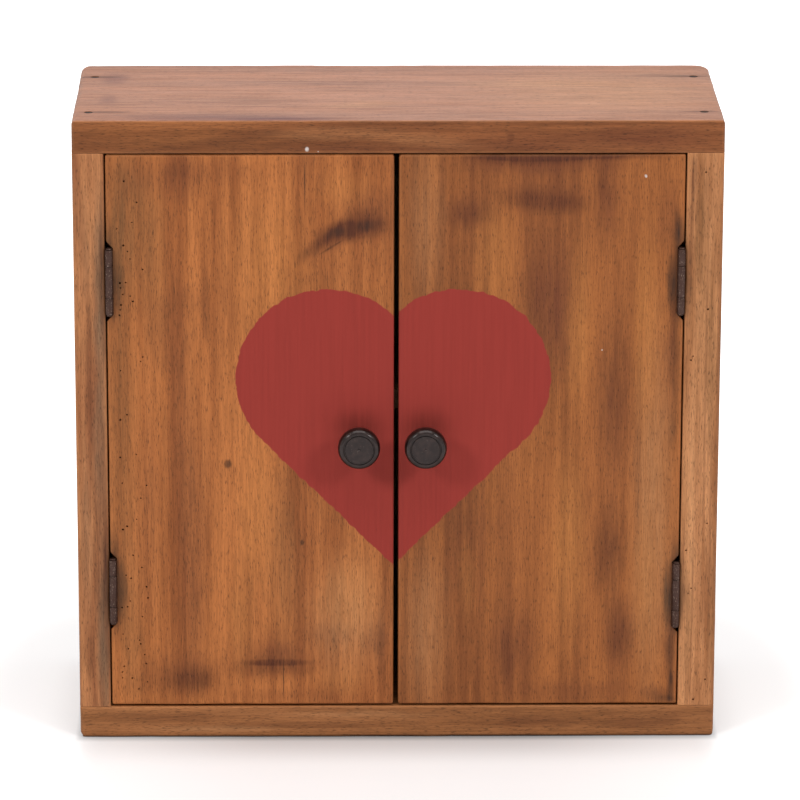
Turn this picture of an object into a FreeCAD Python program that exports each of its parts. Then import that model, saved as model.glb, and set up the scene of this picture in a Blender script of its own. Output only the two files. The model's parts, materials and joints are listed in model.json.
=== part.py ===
"""Wooden medicine cabinet with two inset doors on butt hinges, in millimetres.

+X is to the right of someone facing the doors, +Y points back to the wall, +Z is up.
The origin is the middle of the underside of the box.
"""
import FreeCAD, Part
import os

Vector = FreeCAD.Vector
SAME = 1e-6  # values closer than this are the same

# Box, without the knobs and hinges that stand proud of it
CABINET_WIDTH = 350.0
CABINET_HEIGHT = 350.0
CABINET_DEPTH = 135.0
TOP_THICKNESS = 18.0
BOTTOM_THICKNESS = 18.0
LEFT_SIDE_THICKNESS = 17.0
RIGHT_SIDE_THICKNESS = 20.0
CORNER_ROUND = 3.0  # upright corners of the top and bottom boards
OUTER_EDGE_ROUND = 2.0  # round the outer face of the top and bottom boards
JOINT_EDGE_ROUND = 0.5  # where the top and bottom boards meet the sides
SIDE_EDGE_ROUND = 1.0  # front and outer back edges of the sides

# Back panel, let into a rebate
BACK_THICKNESS = 5.0
REBATE_WIDTH = 8.0
PANEL_CLEARANCE = 0.2

# Hanging rail under the top board, with a hole near each end for a wall screw
RAIL_HEIGHT = 40.0
RAIL_THICKNESS = 15.0
WALL_HOLE_RADIUS = 2.5
WALL_HOLE_SPACING = 200.0
RAIL_SCREW_INSET = 20.0  # from each end of the rail
RAIL_SCREW_SPACING = 120.0  # between the two nearer the middle

# Shelf on two cleats
SHELF_RISE = 160.0  # from the bottom board up to the shelf
SHELF_THICKNESS = 12.0
SHELF_SETBACK = 20.0  # from the backs of the doors
SHELF_END_CLEARANCE = 0.5
CLEAT_HEIGHT = 14.0
CLEAT_THICKNESS = 12.0
CLEAT_SETBACK = 10.0  # from the front edge of the shelf
CLEAT_SCREW_INSET = 18.0  # from each end of a cleat

# Doors, set into the box
DOOR_THICKNESS = 17.0
DOOR_RECESS = 0.5  # behind the front of the box
DOOR_SIDE_GAP = 0.8
DOOR_TOP_GAP = 0.8
DOOR_BOTTOM_GAP = 1.0
DOOR_MEETING_GAP = 2.6
DOOR_MEETING_SHIFT = 0.6  # from the doorway's middle to the gap's, to the right
DOOR_EDGE_ROUND = 1.2

# Butt hinges
HINGE_LENGTH = 36.0
LEAF_WIDTH = 13.0  # from the pin's axis to the leaf's far edge
LEAF_THICKNESS = 1.2
KNUCKLE_RADIUS = 2.2
MIDDLE_KNUCKLE_LENGTH = 17.4
KNUCKLE_GAP = 0.3
PIN_RADIUS = 1.1
PIN_CLEARANCE = 0.05
PIN_HEAD_RADIUS = 1.6
PIN_HEAD_HEIGHT = 0.9
HINGE_PROUD = 0.6  # the pin's axis in front of the box
UPPER_HINGE_DROP = 71.0  # from the top of the doorway to the middle of the hinge
LEFT_LOWER_HINGE_RISE = 67.5  # from the bottom of the doorway to the middle of the hinge
RIGHT_LOWER_HINGE_RISE = 64.8
HINGE_SCREW_SPACING = 22.0
HINGE_SCREW_INSET = 4.5  # from the leaf's far edge
MORTISE_CLEARANCE = 0.5
MORTISE_SLOPE = 5.0  # length of the slanted cut at each end of a mortise

# Turned knobs, drawn from the door outwards
KNOB_RADIUS = 11.5
KNOB_PROJECTION = 21.0
KNOB_RIM_HEIGHT = 15.5  # height of the widest ring
KNOB_FACE_RADIUS = 9.6
KNOB_GROOVE_RADIUS = 8.4
KNOB_GROOVE_WIDTH = 1.0
KNOB_GROOVE_DEPTH = 0.5
KNOB_DIMPLE_RADIUS = 0.9
KNOB_DIMPLE_DEPTH = 0.4
KNOB_NECK_RADIUS = 4.6
KNOB_NECK_HEIGHT = 6.5  # height of the narrowest ring
KNOB_FLARE_RADIUS = 8.2  # where the neck meets the underside of the head
KNOB_FLARE_HEIGHT = 11.5
KNOB_BASE_RADIUS = 6.5
KNOB_BASE_HEIGHT = 1.6
KNOB_RISE = 154.0  # from the bottom of the doorway to the knob's axis
LEFT_KNOB_INSET = 19.0  # from the door's meeting edge
RIGHT_KNOB_INSET = 14.5
KNOB_SCREW_RADIUS = 2.0
KNOB_SCREW_ENGAGEMENT = 9.0
KNOB_SCREW_HEAD_RADIUS = 3.8
KNOB_SCREW_HEAD_HEIGHT = 2.4
KNOB_HOLE_CLEARANCE = 0.3
WASHER_RADIUS = 5.0
WASHER_THICKNESS = 0.8

# Magnetic catches under the top board, and their strike plates on the doors
CATCH_INSET = 45.0  # from the door's meeting edge
CATCH_BODY_WIDTH = 24.0
CATCH_BODY_HEIGHT = 16.0
CATCH_DEPTH = 14.0
CATCH_LUG_LENGTH = 8.0
CATCH_LUG_THICKNESS = 3.0
CATCH_FIT = 0.05
CATCH_GAP = 0.3  # between pole plates and strike plate
MAGNET_WIDTH = 16.0
MAGNET_HEIGHT = 5.0
MAGNET_DEPTH = 9.0
POLE_THICKNESS = 1.2
POLE_PROUD = 0.8
STRIKE_LENGTH = 36.0
STRIKE_HEIGHT = 11.0
STRIKE_THICKNESS = 1.2
STRIKE_SCREW_SPACING = 26.0

# Nails in the box and pins in the back panel
NAIL_FRONT_INSET = 20.0
NAIL_BACK_INSET = 30.0
PLUG_RADIUS = 2.4
PLUG_DEPTH = 2.5
PANEL_PIN_SPACING_X = 110.0
PANEL_PIN_SPACING_Z = 130.0

# Fasteners: head radius, shank radius, length, and height of a nail's head
FASTENER_FIT = 0.05
SLOT_WIDTH = 0.7
SLOT_DEPTH = 0.6
POINT_LENGTH = 3.0
NAIL = dict(head_radius=2.1, shank_radius=1.3, length=45.0, head_height=1.2)
PANEL_PIN = dict(head_radius=1.7, shank_radius=0.8, length=18.0, head_height=0.8)
HINGE_SCREW = dict(head_radius=2.2, shank_radius=1.2, length=12.0)
RAIL_SCREW = dict(head_radius=3.0, shank_radius=1.6, length=16.0)
CLEAT_SCREW = dict(head_radius=3.2, shank_radius=1.7, length=24.0)
CATCH_SCREW = dict(head_radius=2.4, shank_radius=1.3, length=12.0)
STRIKE_SCREW = dict(head_radius=2.2, shank_radius=1.2, length=10.0)

# Planes of the box and of the doorway
FRONT = -CABINET_DEPTH / 2
BACK = CABINET_DEPTH / 2
LEFT = -CABINET_WIDTH / 2
RIGHT = CABINET_WIDTH / 2
DOORWAY_LEFT = LEFT + LEFT_SIDE_THICKNESS
DOORWAY_RIGHT = RIGHT - RIGHT_SIDE_THICKNESS
DOORWAY_MIDDLE = (DOORWAY_LEFT + DOORWAY_RIGHT) / 2
DOORWAY_BOTTOM = BOTTOM_THICKNESS
DOORWAY_TOP = CABINET_HEIGHT - TOP_THICKNESS
BACK_PANEL_FRONT = BACK - BACK_THICKNESS
DOOR_FRONT = FRONT + DOOR_RECESS
DOOR_BACK = DOOR_FRONT + DOOR_THICKNESS
HINGE_Y = FRONT - HINGE_PROUD
SHELF_BOTTOM = DOORWAY_BOTTOM + SHELF_RISE
SHELF_FRONT = DOOR_BACK + SHELF_SETBACK
RAIL_MIDDLE = DOORWAY_TOP - RAIL_HEIGHT / 2
KNOB_Z = DOORWAY_BOTTOM + KNOB_RISE
POLE_FRONT = DOOR_BACK + STRIKE_THICKNESS + CATCH_GAP
CATCH_FRONT = POLE_FRONT + POLE_PROUD
CATCH_Z = DOORWAY_TOP - CATCH_BODY_HEIGHT / 2

# The two hands: the side's inner face, the direction from it to the middle, and what differs
HANDS = {
    "left": dict(
        side=DOORWAY_LEFT,
        inward=1,
        knob_inset=LEFT_KNOB_INSET,
        hinges={
            "upper": DOORWAY_TOP - UPPER_HINGE_DROP,
            "lower": DOORWAY_BOTTOM + LEFT_LOWER_HINGE_RISE,
        },
    ),
    "right": dict(
        side=DOORWAY_RIGHT,
        inward=-1,
        knob_inset=RIGHT_KNOB_INSET,
        hinges={
            "upper": DOORWAY_TOP - UPPER_HINGE_DROP,
            "lower": DOORWAY_BOTTOM + RIGHT_LOWER_HINGE_RISE,
        },
    ),
}


def block(x0, x1, y0, y1, z0, z1):
    """A box between two values on each axis, given in either order."""
    low = Vector(min(x0, x1), min(y0, y1), min(z0, z1))
    return Part.makeBox(abs(x1 - x0), abs(y1 - y0), abs(z1 - z0), low)


def edges_in_plane(solid, letter, value):
    """The edges that lie wholly in the plane where one coordinate has this value."""
    return [edge for edge in solid.Edges
            if all(abs(getattr(vertex, letter) - value) < SAME for vertex in edge.Vertexes)]


def upright_edges(plain_box):
    """The four upright edges of a box."""
    return [edge for edge in plain_box.Edges if edge.BoundBox.ZLength > SAME]


def turned(edges):
    """A solid of revolution about Z from a closed outline of edges in the XZ plane."""
    section = Part.Face(Part.Wire(edges))
    return section.revolve(Vector(0, 0, 0), Vector(0, 0, 1), 360)


def outline(points):
    """Straight edges through (radius, height) points, closed back to the first."""
    corners = [Vector(radius, 0, height) for radius, height in points]
    return Part.makePolygon(corners + corners[:1]).Edges


def placed(shape, at, direction):
    """A shape drawn along +Z from the origin, turned to a direction and moved to a point."""
    turn = FreeCAD.Rotation(Vector(0, 0, 1), Vector(*direction))
    return shape.transformed(FreeCAD.Placement(Vector(*at), turn).toMatrix())


def carved(solid, *cutters):
    """The solid less every cutter in the lists of cutters."""
    return solid.cut([cutter for group in cutters for cutter in group]).Solids[0]


def joined(solid, *others):
    """The solids as one."""
    return solid.fuse(list(others)).removeSplitter().Solids[0]


def wood_screw(head_radius, shank_radius, length, fit=0.0):
    """A slotted countersunk screw along +Z, its head's face at the origin; fit swells it into its hole."""
    head = head_radius + fit
    shank = shank_radius + fit
    taper = head_radius - shank_radius
    screw = turned(outline([(0, 0), (head, 0), (shank, taper),
                            (shank, length - POINT_LENGTH), (0, length + fit)]))
    if fit:
        return screw
    slot = block(-head, head, -SLOT_WIDTH / 2, SLOT_WIDTH / 2, 0, SLOT_DEPTH)
    return carved(screw, [slot])


def nail(head_radius, shank_radius, length, head_height, fit=0.0):
    """A round nail along +Z, its head's face at the origin; fit swells it into its hole."""
    head = head_radius + fit
    shank = shank_radius + fit
    return turned(outline([(0, 0), (head, 0), (head, head_height), (shank, head_height),
                           (shank, length - POINT_LENGTH), (0, length + fit)]))


def driven(make, size, places):
    """Fasteners of one size at (point, direction) places, and the swollen copies that cut their holes."""
    fasteners = [placed(make(**size), at, direction) for at, direction in places]
    holes = [placed(make(fit=FASTENER_FIT, **size), at, direction) for at, direction in places]
    return fasteners, holes


def flat_board(bottom, top, outer):
    """The top or bottom board: rounded corners, eased outer edges, crisper edges at the joints."""
    board = block(LEFT, RIGHT, FRONT, BACK, bottom, top)
    inner = bottom if outer == top else top
    board = board.makeFillet(CORNER_ROUND, upright_edges(board))
    board = board.makeFillet(OUTER_EDGE_ROUND, edges_in_plane(board, "Z", outer))
    return board.makeFillet(JOINT_EDGE_ROUND, edges_in_plane(board, "Z", inner))


def side_board(outer, inner):
    """A side between the top and bottom boards, its front edges and its outer back edge eased."""
    board = block(outer, inner, FRONT, BACK, DOORWAY_BOTTOM, DOORWAY_TOP)
    edges = [edge for edge in upright_edges(board)
             if edge.Vertexes[0].Y < 0 or abs(edge.Vertexes[0].X - outer) < SAME]
    return board.makeFillet(SIDE_EDGE_ROUND, edges)


def back_sheet(clearance):
    """The back panel, or with no clearance the rebate that it lies in."""
    reach = REBATE_WIDTH - clearance
    return block(DOORWAY_LEFT - reach, DOORWAY_RIGHT + reach, BACK_PANEL_FRONT, BACK,
                 DOORWAY_BOTTOM - reach, DOORWAY_TOP + reach)


def panel_pin_places():
    """Pins round the back panel: three along the top and the bottom, two up each side."""
    middle_z = (DOORWAY_BOTTOM + DOORWAY_TOP) / 2
    inset = REBATE_WIDTH / 2
    rows = [(DOORWAY_MIDDLE + step * PANEL_PIN_SPACING_X, z)
            for z in (DOORWAY_BOTTOM - inset, DOORWAY_TOP + inset) for step in (-1, 0, 1)]
    columns = [(x, middle_z + step * PANEL_PIN_SPACING_Z / 2)
               for x in (DOORWAY_LEFT - inset, DOORWAY_RIGHT + inset) for step in (-1, 1)]
    return [((x, BACK, z), (0, -1, 0)) for x, z in rows + columns]


def nail_spots():
    """Where the nails stand in plan, in the middle of each side's thickness."""
    return [(x, y) for x in ((LEFT + DOORWAY_LEFT) / 2, (RIGHT + DOORWAY_RIGHT) / 2)
            for y in (FRONT + NAIL_FRONT_INSET, BACK - NAIL_BACK_INSET)]


def plugs(fit=0.0):
    """Filler over the nails, flush with the top and with the underside of the box; fit swells it."""
    return [Part.makeCylinder(PLUG_RADIUS + fit, PLUG_DEPTH, Vector(x, y, z), Vector(0, 0, 1))
            for z in (0, CABINET_HEIGHT - PLUG_DEPTH) for x, y in nail_spots()]


def wall_holes():
    """Holes through the hanging rail and the back panel."""
    return [Part.makeCylinder(WALL_HOLE_RADIUS, RAIL_THICKNESS + BACK_THICKNESS,
                              Vector(step * WALL_HOLE_SPACING / 2, BACK, RAIL_MIDDLE), Vector(0, -1, 0))
            for step in (-1, 1)]


def rail_screw_places():
    """Screws from behind: one near each end of the rail and two nearer its middle."""
    ends = [DOORWAY_LEFT + RAIL_SCREW_INSET, DOORWAY_RIGHT - RAIL_SCREW_INSET]
    inner = [DOORWAY_MIDDLE + step * RAIL_SCREW_SPACING / 2 for step in (-1, 1)]
    return [((x, BACK, RAIL_MIDDLE), (0, -1, 0)) for x in ends + inner]


def cleat(hand):
    """A shelf cleat on one side of the box."""
    return block(hand["side"], hand["side"] + hand["inward"] * CLEAT_THICKNESS,
                 SHELF_FRONT + CLEAT_SETBACK, BACK_PANEL_FRONT, SHELF_BOTTOM - CLEAT_HEIGHT, SHELF_BOTTOM)


def cleat_screw_places(hand):
    """Screws through a cleat into its side."""
    x = hand["side"] + hand["inward"] * CLEAT_THICKNESS
    ends = (SHELF_FRONT + CLEAT_SETBACK + CLEAT_SCREW_INSET, BACK_PANEL_FRONT - CLEAT_SCREW_INSET)
    return [((x, y, SHELF_BOTTOM - CLEAT_HEIGHT / 2), (-hand["inward"], 0, 0)) for y in ends]


def door_edges(hand):
    """The X values of a door's hinged edge and of its meeting edge."""
    hinged = hand["side"] + hand["inward"] * DOOR_SIDE_GAP
    return hinged, DOORWAY_MIDDLE + DOOR_MEETING_SHIFT - hand["inward"] * DOOR_MEETING_GAP / 2


def door_plank(hand):
    """A door before its mortises and holes are cut, every edge eased."""
    hinged, meeting = door_edges(hand)
    plank = block(hinged, meeting, DOOR_FRONT, DOOR_BACK,
                  DOORWAY_BOTTOM + DOOR_BOTTOM_GAP, DOORWAY_TOP - DOOR_TOP_GAP)
    return plank.makeFillet(DOOR_EDGE_ROUND, plank.Edges)


def hinge_mortise(hand, middle):
    """The cut in a door's edge for one hinge, with slanted ends, open to the front."""
    deep = hand["side"] + hand["inward"] * 2 * KNUCKLE_RADIUS
    short = HINGE_LENGTH / 2 + MORTISE_CLEARANCE
    long = short + MORTISE_SLOPE
    start = HINGE_Y - KNUCKLE_RADIUS
    corners = [Vector(hand["side"], start, middle - long), Vector(deep, start, middle - short),
               Vector(deep, start, middle + short), Vector(hand["side"], start, middle + long)]
    face = Part.Face(Part.makePolygon(corners + corners[:1]))
    return face.extrude(Vector(0, KNUCKLE_RADIUS + LEAF_WIDTH + MORTISE_CLEARANCE, 0))


def hinge_leaf(hand, middle, outer_face, thickness_way, own_spans, other_spans):
    """One leaf: a plate, the knuckles that it carries, and room for the other leaf's knuckles."""
    axis_x = hand["side"] + hand["inward"] * KNUCKLE_RADIUS
    half = HINGE_LENGTH / 2

    def barrel(radius, span):
        return Part.makeCylinder(radius, span[1] - span[0], Vector(axis_x, HINGE_Y, middle + span[0]))

    plate = block(outer_face, outer_face + thickness_way * LEAF_THICKNESS,
                  HINGE_Y, HINGE_Y + LEAF_WIDTH, middle - half, middle + half)
    plate = carved(plate, [barrel(KNUCKLE_RADIUS + KNUCKLE_GAP, span) for span in other_spans])
    leaf = joined(plate, *[barrel(KNUCKLE_RADIUS, span) for span in own_spans])
    return carved(leaf, [barrel(PIN_RADIUS + PIN_CLEARANCE, (-half, half))])


def hinge_leaves(hand, middle):
    """The frame leaf on the side of the box and the door leaf in the door's mortise."""
    half = HINGE_LENGTH / 2
    centre = MIDDLE_KNUCKLE_LENGTH / 2
    room = centre + KNUCKLE_GAP
    frame_leaf = hinge_leaf(hand, middle, hand["side"], hand["inward"],
                            [(-half, -room), (room, half)], [(-room, room)])
    mortise_floor = hand["side"] + hand["inward"] * 2 * KNUCKLE_RADIUS
    door_leaf = hinge_leaf(hand, middle, mortise_floor, -hand["inward"],
                           [(-centre, centre)], [(-half, -centre), (centre, half)])
    return frame_leaf, door_leaf


def hinge_pin(hand, middle):
    """A pin with a small button at each end."""
    half = HINGE_LENGTH / 2
    end = half + PIN_HEAD_HEIGHT
    pin = turned(outline([(0, -end), (PIN_HEAD_RADIUS, -end), (PIN_HEAD_RADIUS, -half), (PIN_RADIUS, -half),
                          (PIN_RADIUS, half), (PIN_HEAD_RADIUS, half), (PIN_HEAD_RADIUS, end), (0, end)]))
    return placed(pin, (hand["side"] + hand["inward"] * KNUCKLE_RADIUS, HINGE_Y, middle), (0, 0, 1))


def hinge_screw_places(hand, middle):
    """Screw places in the frame leaf and in the door leaf of one hinge."""
    y = HINGE_Y + LEAF_WIDTH - HINGE_SCREW_INSET
    heights = [middle + step * HINGE_SCREW_SPACING / 2 for step in (-1, 1)]
    frame_x = hand["side"] + hand["inward"] * LEAF_THICKNESS
    door_x = hand["side"] + hand["inward"] * (2 * KNUCKLE_RADIUS - LEAF_THICKNESS)
    frame_places = [((frame_x, y, z), (-hand["inward"], 0, 0)) for z in heights]
    door_places = [((door_x, y, z), (hand["inward"], 0, 0)) for z in heights]
    return frame_places, door_places


def knob_x(hand):
    """Where a knob's axis stands."""
    return door_edges(hand)[1] - hand["inward"] * hand["knob_inset"]


def knob(hand):
    """A turned knob: waisted neck, round rim, grooved face with a dimple, and a hole for its screw."""

    def point(radius, height):
        return Vector(radius, 0, height)

    def line(start, end):
        return Part.LineSegment(point(*start), point(*end)).toShape()

    def arc(start, through, end):
        return Part.Arc(point(*start), point(*through), point(*end)).toShape()

    top = KNOB_PROJECTION
    base = (KNOB_BASE_RADIUS, KNOB_BASE_HEIGHT)
    flare = (KNOB_FLARE_RADIUS, KNOB_FLARE_HEIGHT)
    face = (KNOB_FACE_RADIUS, top)
    groove_outer = (KNOB_GROOVE_RADIUS + KNOB_GROOVE_WIDTH / 2, top)
    groove_floor = (KNOB_GROOVE_RADIUS, top - KNOB_GROOVE_DEPTH)
    groove_inner = (KNOB_GROOVE_RADIUS - KNOB_GROOVE_WIDTH / 2, top)
    dimple = (KNOB_DIMPLE_RADIUS, top)
    dimple_floor = (0, top - KNOB_DIMPLE_DEPTH)
    solid = turned([
        line((0, 0), (KNOB_BASE_RADIUS, 0)),
        line((KNOB_BASE_RADIUS, 0), base),
        arc(base, (KNOB_NECK_RADIUS, KNOB_NECK_HEIGHT), flare),
        arc(flare, (KNOB_RADIUS, KNOB_RIM_HEIGHT), face),
        line(face, groove_outer),
        line(groove_outer, groove_floor),
        line(groove_floor, groove_inner),
        line(groove_inner, dimple),
        line(dimple, dimple_floor),
        line(dimple_floor, (0, 0)),
    ])
    hole = Part.makeCylinder(KNOB_SCREW_RADIUS + FASTENER_FIT, KNOB_SCREW_ENGAGEMENT + FASTENER_FIT)
    return placed(carved(solid, [hole]), (knob_x(hand), DOOR_FRONT, KNOB_Z), (0, -1, 0))


def knob_screw(hand):
    """A slotted machine screw from inside the door into the knob, its head on the washer."""
    shank = WASHER_THICKNESS + DOOR_THICKNESS + KNOB_SCREW_ENGAGEMENT
    head = KNOB_SCREW_HEAD_HEIGHT
    screw = turned(outline([(0, -head), (KNOB_SCREW_HEAD_RADIUS, -head), (KNOB_SCREW_HEAD_RADIUS, 0),
                            (KNOB_SCREW_RADIUS, 0), (KNOB_SCREW_RADIUS, shank), (0, shank)]))
    slot = block(-KNOB_SCREW_HEAD_RADIUS, KNOB_SCREW_HEAD_RADIUS, -SLOT_WIDTH / 2, SLOT_WIDTH / 2,
                 -head, SLOT_DEPTH - head)
    seat = (knob_x(hand), DOOR_BACK + WASHER_THICKNESS, KNOB_Z)
    return placed(carved(screw, [slot]), seat, (0, -1, 0))


def knob_hole(hand, radius, start, length):
    """A hole on a knob's axis, from a plane forwards."""
    return Part.makeCylinder(radius, length, Vector(knob_x(hand), start, KNOB_Z), Vector(0, -1, 0))


def knob_washer(hand):
    """The washer under a knob screw's head."""
    rim = DOOR_BACK + WASHER_THICKNESS
    disc = knob_hole(hand, WASHER_RADIUS, rim, WASHER_THICKNESS)
    return carved(disc, [knob_hole(hand, KNOB_SCREW_RADIUS + FASTENER_FIT, rim, WASHER_THICKNESS)])


def catch_x(hand):
    """The middle of a catch."""
    return door_edges(hand)[1] - hand["inward"] * CATCH_INSET


def catch_filling(hand, fit=0.0):
    """The magnet and pole plates of a catch as one block, which with fit is the pocket that holds them."""
    x = catch_x(hand)
    half_width = MAGNET_WIDTH / 2 + fit
    half_height = MAGNET_HEIGHT / 2 + POLE_THICKNESS + fit
    return block(x - half_width, x + half_width, CATCH_FRONT, CATCH_FRONT + MAGNET_DEPTH,
                 CATCH_Z - half_height, CATCH_Z + half_height)


def catch_housing(hand):
    """The catch's body between two lugs, open at the front for its magnet."""
    x = catch_x(hand)
    half = CATCH_BODY_WIDTH / 2
    reach = half + CATCH_LUG_LENGTH
    body = block(x - half, x + half, CATCH_FRONT, CATCH_FRONT + CATCH_DEPTH,
                 DOORWAY_TOP - CATCH_BODY_HEIGHT, DOORWAY_TOP)
    lugs = block(x - reach, x + reach, CATCH_FRONT, CATCH_FRONT + CATCH_DEPTH,
                 DOORWAY_TOP - CATCH_LUG_THICKNESS, DOORWAY_TOP)
    return carved(joined(body, lugs), [catch_filling(hand, CATCH_FIT)])


def catch_magnet(hand):
    """The magnet between the pole plates."""
    x = catch_x(hand)
    return block(x - MAGNET_WIDTH / 2, x + MAGNET_WIDTH / 2, CATCH_FRONT, CATCH_FRONT + MAGNET_DEPTH,
                 CATCH_Z - MAGNET_HEIGHT / 2, CATCH_Z + MAGNET_HEIGHT / 2)


def catch_poles(hand):
    """The two steel plates that stand proud of the catch and meet the strike plate."""
    x = catch_x(hand)
    near = MAGNET_HEIGHT / 2
    far = near + POLE_THICKNESS
    return [block(x - MAGNET_WIDTH / 2, x + MAGNET_WIDTH / 2, POLE_FRONT, CATCH_FRONT + MAGNET_DEPTH,
                  CATCH_Z + way * near, CATCH_Z + way * far) for way in (-1, 1)]


def catch_screw_places(hand):
    """Screws up through the lugs into the top board."""
    offset = (CATCH_BODY_WIDTH + CATCH_LUG_LENGTH) / 2
    z = DOORWAY_TOP - CATCH_LUG_THICKNESS
    y = CATCH_FRONT + CATCH_DEPTH / 2
    return [((catch_x(hand) + way * offset, y, z), (0, 0, 1)) for way in (-1, 1)]


def strike_plate(hand):
    """The steel plate on the back of a door, facing its catch."""
    x = catch_x(hand)
    return block(x - STRIKE_LENGTH / 2, x + STRIKE_LENGTH / 2, DOOR_BACK, DOOR_BACK + STRIKE_THICKNESS,
                 CATCH_Z - STRIKE_HEIGHT / 2, CATCH_Z + STRIKE_HEIGHT / 2)


def strike_screw_places(hand):
    """Screws through a strike plate into its door."""
    y = DOOR_BACK + STRIKE_THICKNESS
    return [((catch_x(hand) + way * STRIKE_SCREW_SPACING / 2, y, CATCH_Z), (0, -1, 0)) for way in (-1, 1)]


def build_box():
    """Every piece that stays still, by name."""
    hands = HANDS.values()
    top_nails, top_nail_holes = driven(
        nail, NAIL, [((x, y, CABINET_HEIGHT - PLUG_DEPTH), (0, 0, -1)) for x, y in nail_spots()])
    bottom_nails, bottom_nail_holes = driven(
        nail, NAIL, [((x, y, PLUG_DEPTH), (0, 0, 1)) for x, y in nail_spots()])
    panel_pins, panel_pin_holes = driven(nail, PANEL_PIN, panel_pin_places())
    rail_screws, rail_screw_holes = driven(wood_screw, RAIL_SCREW, rail_screw_places())
    cleat_screws, cleat_screw_holes = driven(
        wood_screw, CLEAT_SCREW, [place for hand in hands for place in cleat_screw_places(hand)])
    catch_screws, catch_screw_holes = driven(
        wood_screw, CATCH_SCREW, [place for hand in hands for place in catch_screw_places(hand)])
    rebate = [back_sheet(0)]
    plug_holes = plugs(FASTENER_FIT)
    rail = block(DOORWAY_LEFT, DOORWAY_RIGHT, BACK_PANEL_FRONT - RAIL_THICKNESS, BACK_PANEL_FRONT,
                 DOORWAY_TOP - RAIL_HEIGHT, DOORWAY_TOP)
    pieces = {
        "top_board": carved(flat_board(DOORWAY_TOP, CABINET_HEIGHT, CABINET_HEIGHT), rebate, plug_holes,
                            top_nail_holes, panel_pin_holes, catch_screw_holes),
        "bottom_board": carved(flat_board(0, DOORWAY_BOTTOM, 0), rebate, plug_holes,
                               bottom_nail_holes, panel_pin_holes),
        "back_panel": carved(back_sheet(PANEL_CLEARANCE), panel_pin_holes, rail_screw_holes, wall_holes()),
        "hanging_rail": carved(rail, rail_screw_holes, wall_holes()),
        "shelf": block(DOORWAY_LEFT + SHELF_END_CLEARANCE, DOORWAY_RIGHT - SHELF_END_CLEARANCE,
                       SHELF_FRONT, BACK_PANEL_FRONT, SHELF_BOTTOM, SHELF_BOTTOM + SHELF_THICKNESS),
        "top_nails": Part.makeCompound(top_nails),
        "bottom_nails": Part.makeCompound(bottom_nails),
        "nail_plugs": Part.makeCompound(plugs()),
        "back_panel_pins": Part.makeCompound(panel_pins),
        "rail_screws": Part.makeCompound(rail_screws),
        "cleat_screws": Part.makeCompound(cleat_screws),
        "catch_screws": Part.makeCompound(catch_screws),
    }
    for name, hand in HANDS.items():
        screws, holes = driven(wood_screw, HINGE_SCREW, [place for middle in hand["hinges"].values()
                                                         for place in hinge_screw_places(hand, middle)[0]])
        side = side_board(LEFT if name == "left" else RIGHT, hand["side"])
        pieces[f"{name}_side"] = carved(side, rebate, top_nail_holes, bottom_nail_holes,
                                        panel_pin_holes, cleat_screw_holes, holes)
        pieces[f"{name}_shelf_cleat"] = carved(cleat(hand), cleat_screw_holes)
        pieces[f"{name}_hinge_frame_screws"] = Part.makeCompound(screws)
        pieces[f"{name}_catch_housing"] = carved(catch_housing(hand), catch_screw_holes)
        pieces[f"{name}_catch_magnet"] = catch_magnet(hand)
        pieces[f"{name}_catch_poles"] = Part.makeCompound(catch_poles(hand))
        for level, middle in hand["hinges"].items():
            pieces[f"{name}_{level}_hinge_frame_leaf"] = carved(hinge_leaves(hand, middle)[0], holes)
            pieces[f"{name}_{level}_hinge_pin"] = hinge_pin(hand, middle)
    return pieces


def build_door(name, hand):
    """Every piece that swings with one door, by name."""
    hinges = hand["hinges"]
    screws, holes = driven(wood_screw, HINGE_SCREW, [place for middle in hinges.values()
                                                     for place in hinge_screw_places(hand, middle)[1]])
    strike_screws, strike_holes = driven(wood_screw, STRIKE_SCREW, strike_screw_places(hand))
    mortises = [hinge_mortise(hand, middle) for middle in hinges.values()]
    bore = knob_hole(hand, KNOB_SCREW_RADIUS + KNOB_HOLE_CLEARANCE, DOOR_BACK, DOOR_THICKNESS)
    pieces = {
        f"{name}_door": carved(door_plank(hand), mortises, holes, strike_holes, [bore]),
        f"{name}_hinge_door_screws": Part.makeCompound(screws),
        f"{name}_knob": knob(hand),
        f"{name}_knob_screw": knob_screw(hand),
        f"{name}_knob_washer": knob_washer(hand),
        f"{name}_strike_plate": carved(strike_plate(hand), strike_holes),
        f"{name}_strike_screws": Part.makeCompound(strike_screws),
    }
    for level, middle in hinges.items():
        pieces[f"{name}_{level}_hinge_door_leaf"] = carved(hinge_leaves(hand, middle)[1], holes)
    return pieces


def main():
    """Write one file for each piece."""
    os.makedirs("parts", exist_ok=True)
    pieces = build_box()
    for name, hand in HANDS.items():
        pieces.update(build_door(name, hand))
    for name, shape in pieces.items():
        shape.exportStep(f"parts/{name}.step")
    print(len(pieces), "pieces")


main()
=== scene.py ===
import cmath
import json
import math
import random
from functools import partial
from itertools import product

import bmesh
import bpy
from bpy.props import FloatProperty, FloatVectorProperty, IntProperty, PointerProperty
from mathutils import Matrix, Vector, noise


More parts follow.
